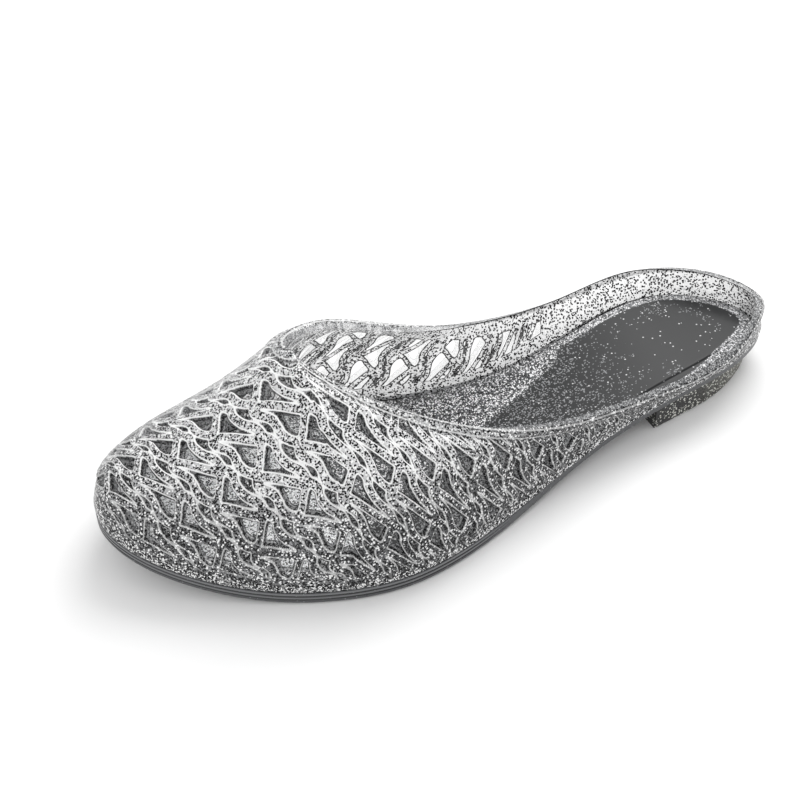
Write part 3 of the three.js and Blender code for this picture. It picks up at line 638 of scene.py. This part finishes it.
# Upper, inside
# The plain inner face of the same moulding, which follows the last.
ix, iv, itri, _ = skin(0.85)
ibase = on_last(ix, iv)
iturned = normals(ibase, itri)
isole, _ = edges(ix, iv)
inside = ibase - iturned * DEPTH
lower = isole < ON_SOLE
inside[lower, 2] = sole_top(inside[lower, 1] / LENGTH + 0.5)
lining = mesh("upper_inside", inside, itri[:, ::-1], None)
attribute(lining, "hole", material(ix, iv))
# The same clear PVC seen from inside: paler, black glitter, and a painted shade line round
# every opening, where its edge turns the light away.
m, t, shader = new_material("clear PVC, inner face")
is_dark, is_bright, _ = flakes(t, 0.70, 0.55, .57, .3)
hole = node(t, "Attribute", out="Fac", attribute_name="hole")
# foot: the painted shade line round every opening
foot = band(t, hole, 0.10, 0.34)
c = node(t, "Mix", {0: is_bright, 6: srgb("#f6f6f7"), 7: srgb("#ffffff")}, **MIXED)
c = node(t, "Mix", {0: is_dark, 6: c, 7: srgb("#080809")}, **MIXED)
c = node(t, "Mix", {0: foot, 6: c, 7: srgb("#1a1b1d")}, **MIXED)
t.links.new(c, shader.inputs["Base Color"])
cover = 0.32
for mask, share in ((is_dark, .97), (foot, .9), (is_bright, .4)):
    cover = node(t, "Math", node(t, "Math", mask, share, **TIMES), cover, **MOST)
t.links.new(cover, shader.inputs["Alpha"])
shader.inputs["Roughness"].default_value = 0.22
shader.inputs["IOR"].default_value = 1.5
shader.inputs["Specular IOR Level"].default_value = 0.2
lining.data.materials.append(m)

# Outsole
# A flat plate of grey plastic with the toe turned up and an arch behind the ball. Two
# fine grooves run round the edge of its front half, which stands a little outside the
# upper.
N = 240
PHI = np.pi * np.arange(2 * N) / N
RING_SIDE = np.where(np.arange(2 * N) <= N, 1, -1)
RING_U = (1 - np.cos(PHI)) / 2
ring = np.stack([sole_x(RING_SIDE, RING_U), (RING_U - 0.5) * LENGTH], -1)


def grow(line, out):
    """The closed line moved outward by out, in its own plane."""
    d = np.roll(line, -1, 0) - np.roll(line, 1, 0)
    d = d / np.linalg.norm(d, axis=1, keepdims=True)
    return line + np.stack([d[:, 1], -d[:, 0]], -1) * np.reshape(out, (-1, 1))


def plate(rows):
    """Rows of (outward offset, height) from the bottom up, closed by flat strips across
    the foot: point = ring(i) + offset outward, z = height(share of length)."""
    points, faces, n = [], [], 2 * N
    for out, z in rows:
        p = grow(ring, out(RING_U) if callable(out) else np.full(n, out))
        points.append(np.column_stack([p, z(p[:, 1] / LENGTH + 0.5)]))
    j = np.arange(n)
    for r in range(len(rows) - 1):
        lo, hi, k = r * n, r * n + n, (j + 1) % n
        faces += [np.stack([lo + j, lo + k, hi + k, hi + j], 1)]
    i = np.arange(1, N - 1)
    for base, up in ((0, False), ((len(rows) - 1) * n, True)):
        cells = 40
        lat, med = points[base // n][:N + 1], points[base // n][(n - np.arange(N + 1)) % n]
        start = sum(len(p) for p in points)
        inner_k = np.arange(1, cells) / cells
        mid = med[1:N, None] + (lat[1:N, None] - med[1:N, None]) * inner_k[None, :, None]
        zf = rows[base // n][1]
        mid[..., 2] = zf(mid[..., 1] / LENGTH + 0.5)
        points.append(mid.reshape(-1, 3))
        grid = start + np.arange((N - 1) * (cells - 1)).reshape(N - 1, cells - 1)
        full = np.concatenate([(base + n - np.arange(1, N))[:, None], grid,
                               (base + np.arange(1, N))[:, None]], 1)
        a, b, c, d = full[:-1, :-1], full[:-1, 1:], full[1:, 1:], full[1:, :-1]
        q = np.stack([a, b, c, d], -1).reshape(-1, 4)
        tip = np.stack([np.full(cells, base), full[0, 1:], full[0, :-1], full[0, :-1]], -1)
        tail = np.stack([np.full(cells, base + N), full[-1, :-1], full[-1, 1:], full[-1, 1:]], -1)
        q = np.concatenate([q, tip, tail])
        faces.append(q if up else q[:, ::-1])
    f = np.concatenate(faces)
    tri = np.concatenate([f[:, [0, 1, 2]], f[:, [0, 2, 3]]])
    ok = (tri[:, 0] != tri[:, 1]) & (tri[:, 1] != tri[:, 2]) & (tri[:, 2] != tri[:, 0])
    return np.concatenate(points), tri[ok]


WELT, GAP = 0.8, 0.3    # mm: the edge outside the upper, the gap between plate and upper


def welt(inset):
    """Offset of the edge outside the sole line: WELT, less toward the seat, less inset."""
    return lambda u: WELT * (1 - 0.6 * smooth(0.45, 0.7, u)) - inset * (
        1 if inset > 1 else 1 - smooth(0.42, 0.52, u))


def edge_at(share):
    """Height at a share of the plate's thickness above the underside."""
    return lambda u: underside(u) + (sole_top(u) - GAP - underside(u)) * share


SOLE_ROWS = [(welt(1.4), edge_at(0)), (welt(1.35), edge_at(.01)), (welt(0.3), edge_at(.12)),
             (welt(0), edge_at(.2)), (welt(0), edge_at(.36)), (welt(.06), edge_at(.38)),
             (welt(.4), edge_at(.42)), (welt(.06), edge_at(.46)), (welt(0), edge_at(.48)),
             (welt(0), edge_at(.66)), (welt(.06), edge_at(.68)), (welt(.4), edge_at(.72)),
             (welt(.06), edge_at(.76)), (welt(0), edge_at(.78)), (welt(0), edge_at(.96)),
             (welt(.15), edge_at(1)), (welt(1.3), edge_at(1))]
p, f = plate(SOLE_ROWS)
outsole = mesh("outsole_plate", p, f, "outsole")
# Grey PVC, moulded with a satin face and nearly opaque, with a little glitter. The
# grooves are painted dark as shade, and the raised lines beside them light as highlights.
pts = np.array([q.co for q in outsole.data.vertices]) * 1000 - SHIFT
pu = pts[:, 1] / LENGTH + 0.5
attribute(outsole, "level", (pts[:, 2] - underside(pu)) / (sole_top(pu) - GAP - underside(pu)))
m, t, shader = new_material("grey PVC, moulded sole")
is_dark, is_bright, _ = flakes(t, 0.8, 0.30, .14, .10)
c = node(t, "Mix", {0: is_bright, 6: srgb("#4e4f51"), 7: srgb("#8a8c8e")}, **MIXED)
c = node(t, "Mix", {0: is_dark, 6: c, 7: srgb("#252526")}, **MIXED)
level = node(t, "Attribute", out="Fac", attribute_name="level")
along = node(t, "SeparateXYZ", node(t, "TexCoord", out="Object"), out=1)
fore = node(t, "MapRange", along, -.020, .005, 1.0, 0.0, **EASE)
# painted shade in the two grooves of the front half
grooves = node(t, "Math", band(t, level, .42, .07), band(t, level, .72, .07), **MOST)
grooves = node(t, "Math", grooves, fore, **TIMES)
c = node(t, "Mix", {0: grooves, 6: c, 7: srgb("#18191a")}, **MIXED)
# painted highlights on the raised lines beside the grooves
ridge_highlight = node(t, "Math", band(t, level, .57, .06), band(t, level, .88, .08), **MOST)
ridge_highlight = node(t, "Math", ridge_highlight, fore, **TIMES)
c = node(t, "Mix", {0: ridge_highlight, 6: c, 7: srgb("#737476")}, **MIXED)
t.links.new(c, shader.inputs["Base Color"])
shader.inputs["Roughness"].default_value = 0.3
outsole.data.materials.append(m)

# Insole
# A grey glitter pad sunk inside the wall: a narrow ledge runs round it, then a small step
# up to the face that the foot rests on.
INSET, STEP = WALL + 0.3 + GAP + 0.4, 0.6    # mm: the pad inside the sole line; its step


def pad_top(u):
    """Height of the pad's face above the ground."""
    return sole_top(u) + 1.3 + 1.1 * smooth(0.40, 0.62, u)


def ledge(u):
    """Height of the ledge round the pad."""
    return pad_top(u) - STEP


p, f = plate([(-INSET, sole_top), (-INSET, lambda u: ledge(u) - .2),
              (-INSET - .3, ledge), (-INSET - 3.0, ledge), (-INSET - 3.2, lambda u: ledge(u) + .1),
              (-INSET - 3.5, lambda u: pad_top(u) - .1), (-INSET - 3.8, pad_top),
              (-INSET - 4.2, pad_top)])
insole = mesh("footbed", p, f, "insole")
# Grey PVC with fine glitter: light specks in front and paler under the toes as painted light,
# a smooth darker pad on the seat behind a slanting line, with loose specks, a bright glitter
# ledge round it, and a painted shade line where it meets the wall.
pts = np.array([q.co for q in insole.data.vertices]) * 1000 - SHIFT
pu = pts[:, 1] / LENGTH + 0.5
line = ring[:, None] - pts[None, :, :2]
inside_by = np.hypot(line[..., 0], line[..., 1]).min(0)
front = np.interp(pts[:, 0], [-30, -21.4, -15.6, -11.4, -7.1, -2.7, 5, 20, 40],
                  [58, 52.3, 46.8, 38.2, 29.6, 18, 0, -30, -60])
heel_end = smooth(80, 105, pts[:, 1])
wide = 3.6 + 3.6 * (1 - smooth(-8, 6, pts[:, 0]) * (1 - heel_end))    # broad inside and behind
behind = (pts[:, 1] - front) * 0.5
attribute(insole, "seat", inside_by - wide)
attribute(insole, "behind", behind)
attribute(insole, "ledge", np.minimum(
    np.minimum(wide - 0.3 - inside_by, behind), np.maximum(-pts[:, 0], pts[:, 1] - 85)))
attribute(insole, "crease_shade", inside_by)
m, t, shader = new_material("grey PVC footbed, glitter")
is_dark, is_bright, share = flakes(t, 0.5, 0.6, .40, .38)
_, few_bright, _ = flakes(t, 1.1, 0.28, .05, .10, 0.002)
seat_by, behind, ledge_by, crease_by = [
    node(t, "Attribute", out="Fac", attribute_name=k) for k in ("seat", "behind", "ledge", "crease_shade")]
co = node(t, "TexCoord", out="Object")
across, along, _ = node(t, "SeparateXYZ", co).node.outputs
on_pad = node(t, "MapRange", seat_by, -.3, .3, **EASE)
seat = node(t, "Math", on_pad, node(t, "MapRange", behind, -1.0, 2.0, **EASE), **TIMES)
ring_at = node(t, "MapRange", ledge_by, -.2, .2, **EASE)
# painted shade where the pad meets the wall, stronger on the inner side
dark_side = node(t, "MapRange", across, -.002, .010, .7, .15, **EASE)
crease_shade = node(t, "MapRange", crease_by, 2.9, 3.5, 1.0, 0.0, **EASE)
crease_shade = node(t, "Math", crease_shade, dark_side, **TIMES)
# specks thin out toward the heel, away from the front and between faint clouds
cloud = node(t, "TexNoise", {"Vector": co, "Scale": 60.0, "Detail": 3.0})
patch = node(t, "MapRange", along, .026, .080, .85, 0.0, **EASE)
patch = node(t, "Math", patch, node(t, "MapRange", cloud, .56, .68, 0.0, .4, **EASE), **MOST)
patch = node(t, "Math", patch, node(t, "MapRange", behind, 0.0, 9.0, .9, 0.0, **EASE), **MOST)
bare = node(t, "Math", seat, node(t, "Math", 1.0, patch, operation="SUBTRACT"), **TIMES)
keep = node(t, "Math", 1.0, bare, operation="SUBTRACT")
shown = node(t, "Math", share, keep, operation="LESS_THAN")
# paler under the toes: painted light from the clear upper above
painted_light_under_toe = node(t, "MapRange", along, -.060, -.035, 1.0, 0.0, **EASE)
front_c = node(t, "Mix", {0: painted_light_under_toe, 6: srgb("#5d5e60"), 7: srgb("#c4c5c6")}, **MIXED)
c = node(t, "Mix", {0: seat, 6: front_c, 7: srgb("#202122")}, **MIXED)
c = node(t, "Mix", {0: ring_at, 6: c, 7: srgb("#8d8e90")}, **MIXED)
bright = node(t, "Mix", {0: seat, 6: srgb("#f2f2f3"), 7: srgb("#8a8b8d")}, **MIXED)
c = node(t, "Mix", {0: node(t, "Math", is_bright, shown, **TIMES), 6: c, 7: bright}, **MIXED)
loose = node(t, "Math", few_bright, seat, **TIMES)
c = node(t, "Mix", {0: loose, 6: c, 7: srgb("#d8d8d9")}, **MIXED)
dark = node(t, "Mix", {0: seat, 6: srgb("#0b0b0c"), 7: srgb("#1d1e1f")}, **MIXED)
c = node(t, "Mix", {0: node(t, "Math", is_dark, shown, **TIMES), 6: c, 7: dark}, **MIXED)
c = node(t, "Mix", {0: crease_shade, 6: c, 7: srgb("#0c0c0d")}, **MIXED)
t.links.new(c, shader.inputs["Base Color"])
shader.inputs["Roughness"].default_value = 0.35
shader.inputs["Specular IOR Level"].default_value = 0.3
# under the toes a painted glow stands in for the light that the clear upper passes on to it
t.links.new(c, shader.inputs["Emission Color"])
t.links.new(node(t, "Math", painted_light_under_toe, .34, **TIMES), shader.inputs["Emission Strength"])
insole.data.materials.append(m)

# Heel block
# A low block under the seat with a flat front face, moulded in the sole's grey PVC with
# denser glitter and a little olive at the back. Its edges are slightly worn.
m, t, shader = new_material("grey PVC with glitter, heel block")
is_dark, is_bright, _ = flakes(t, 0.62, 0.55, .46, .26)
along = node(t, "SeparateXYZ", node(t, "TexCoord", out="Object"), out=1)
rear = node(t, "MapRange", along, .080, .112, **EASE)
c = node(t, "Mix", {0: rear, 6: srgb("#2b2b2b"), 7: srgb("#555449")}, **MIXED)
c = node(t, "Mix", {0: is_bright, 6: c, 7: srgb("#d6d7d0")}, **MIXED)
c = node(t, "Mix", {0: is_dark, 6: c, 7: srgb("#0c0c0c")}, **MIXED)
t.links.new(c, shader.inputs["Base Color"])
shader.inputs["Roughness"].default_value = 0.35
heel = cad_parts["heel"]
heel.data.materials.clear()
heel.data.materials.append(m)
edge = heel.modifiers.new("worn edge", "BEVEL")
edge.width = 0.0007
edge.segments = 3
edge.angle_limit = math.radians(30)

# Camera
# A long lens above the outer side of the toe, tilted a little.
az, el, roll = math.radians(69.451), math.radians(38.431), math.radians(-4.0)
back = Vector((math.sin(az) * math.cos(el), -math.cos(az) * math.cos(el), math.sin(el)))
right = Vector((math.cos(az), math.sin(az), 0))
up = back.cross(right)
across = right * math.cos(roll) + up * math.sin(roll)
upward = -right * math.sin(roll) + up * math.cos(roll)
SCALE, FOCAL, MIDDLE = 2.838, 1600, 400    # pixels to a mm; focal length and middle in pixels
SEEN_X, SEEN_Y = 453.636, 451.252    # pixels, where the form's middle is seen
place = (back * (FOCAL / SCALE) - across * ((SEEN_X - MIDDLE) / SCALE)
         + upward * ((SEEN_Y - MIDDLE) / SCALE) + Vector(SHIFT))
camera = bpy.data.objects.new("camera", bpy.data.cameras.new("camera"))
camera.data.lens, camera.data.sensor_width = 72, 36
camera.matrix_world = (Matrix.Translation(place * 0.001)
                       @ Matrix((across, upward, back)).transposed().to_4x4())
bpy.context.scene.collection.objects.link(camera)
bpy.context.scene.camera = camera

# Floor and light
# A pale floor under an even white sky, with a large soft lamp over the heel's inner side
# and a weaker one over the toe's outer side.
bpy.ops.mesh.primitive_plane_add(size=6, location=(0, 0, 0))
floor = bpy.context.object
floor.name = "floor"
m, t, shader = new_material("pale floor")
shader.inputs["Base Color"].default_value = srgb("#fafafa")
shader.inputs["Roughness"].default_value = 0.9
floor.data.materials.append(m)
world = bpy.data.worlds.new("studio")
bpy.context.scene.world = world
world.use_nodes = True
world.node_tree.nodes["Background"].inputs[0].default_value = (1, 1, 1, 1)
world.node_tree.nodes["Background"].inputs[1].default_value = 0.8
for name, at, size, power in (("key", (-.35, .45, .8), .7, 5.5), ("side", (.6, -.5, .7), .6, 1.6)):
    lamp = bpy.data.objects.new(name, bpy.data.lights.new(name, "AREA"))
    lamp.data.shape, lamp.data.size, lamp.data.energy = "SQUARE", size, power
    lamp.location = at
    lamp.rotation_mode = "QUATERNION"
    lamp.rotation_quaternion = Vector(at).to_track_quat("Z", "Y")
    bpy.context.scene.collection.objects.link(lamp)
bpy.context.scene.view_settings.view_transform = "Standard"
